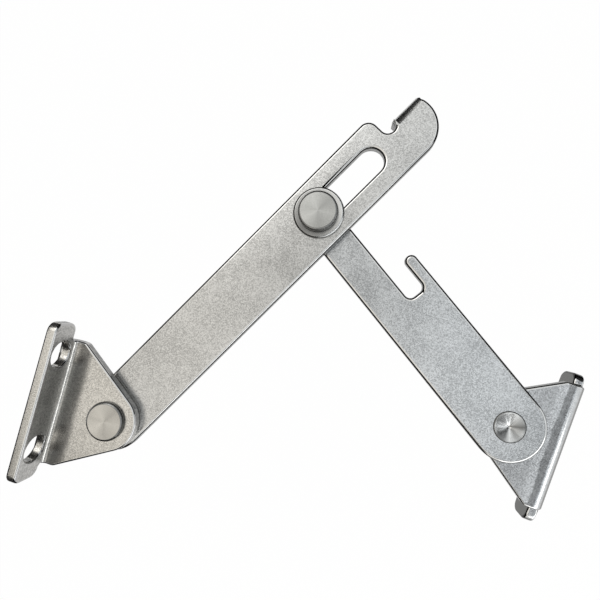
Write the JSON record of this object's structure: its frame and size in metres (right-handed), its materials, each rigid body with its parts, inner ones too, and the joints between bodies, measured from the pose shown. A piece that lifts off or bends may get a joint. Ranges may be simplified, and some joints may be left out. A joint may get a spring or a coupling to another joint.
{
  "type": "door stay",
  "caption": "Slotted door stay that folds: two folded sheet brackets, a long arm with a guide slot and a bent catch tab, and a short arm with a catch slot.",
  "frame": {"origin": "middle of the frame bracket's two screw holes, on the face that meets the frame", "axes": "+X away from the mounting face toward the arms, +Y along the bracket's flange, +Z along the pivots toward the slide pin's turned head"},
  "size_m": [0.1255, 0.1131, 0.0296],
  "materials": {
    "bracket_steel": "satin, fine speckle from tumbling",
    "arm_steel": "satin, fine speckle from blasting",
    "turned_steel": "turned, concentric marks",
    "washer_steel": "plain"
  },
  "bodies": {
    "frame_side": {"base_bracket": "bracket_steel", "base_rivet": "turned_steel", "base_washer": "washer_steel"},
    "long": {"long_arm": "arm_steel"},
    "slider": {"slide_pin": "turned_steel", "slide_collar": "turned_steel", "elbow_washer": "washer_steel"},
    "short": {"short_arm": "arm_steel"},
    "door_side": {"door_bracket": "bracket_steel", "door_rivet": "turned_steel", "door_washer": "washer_steel"}
  },
  "joints": [
    {"name": "frame_pivot", "type": "hinge", "parent": "frame_side", "child": "long", "pos_m": [0.0156, -0.0018, 0], "axis": [0, 0, 1], "range_deg": [-120, 25]},
    {"name": "elbow_slide", "type": "slide", "parent": "long", "child": "slider", "axis": [0.503, 0.8643, 0], "range_m": [0, 0.0175]},
    {"name": "elbow_pivot", "type": "hinge", "parent": "slider", "child": "short", "pos_m": [0.05207, 0.06086, 0], "axis": [0, 0, 1], "range_deg": [-83, 60]},
    {"name": "door_pivot", "type": "hinge", "parent": "short", "child": "door_side", "pos_m": [0.10863, 0.02368, 0], "axis": [0, 0, 1], "range_deg": [-110, 50]}
  ]
}
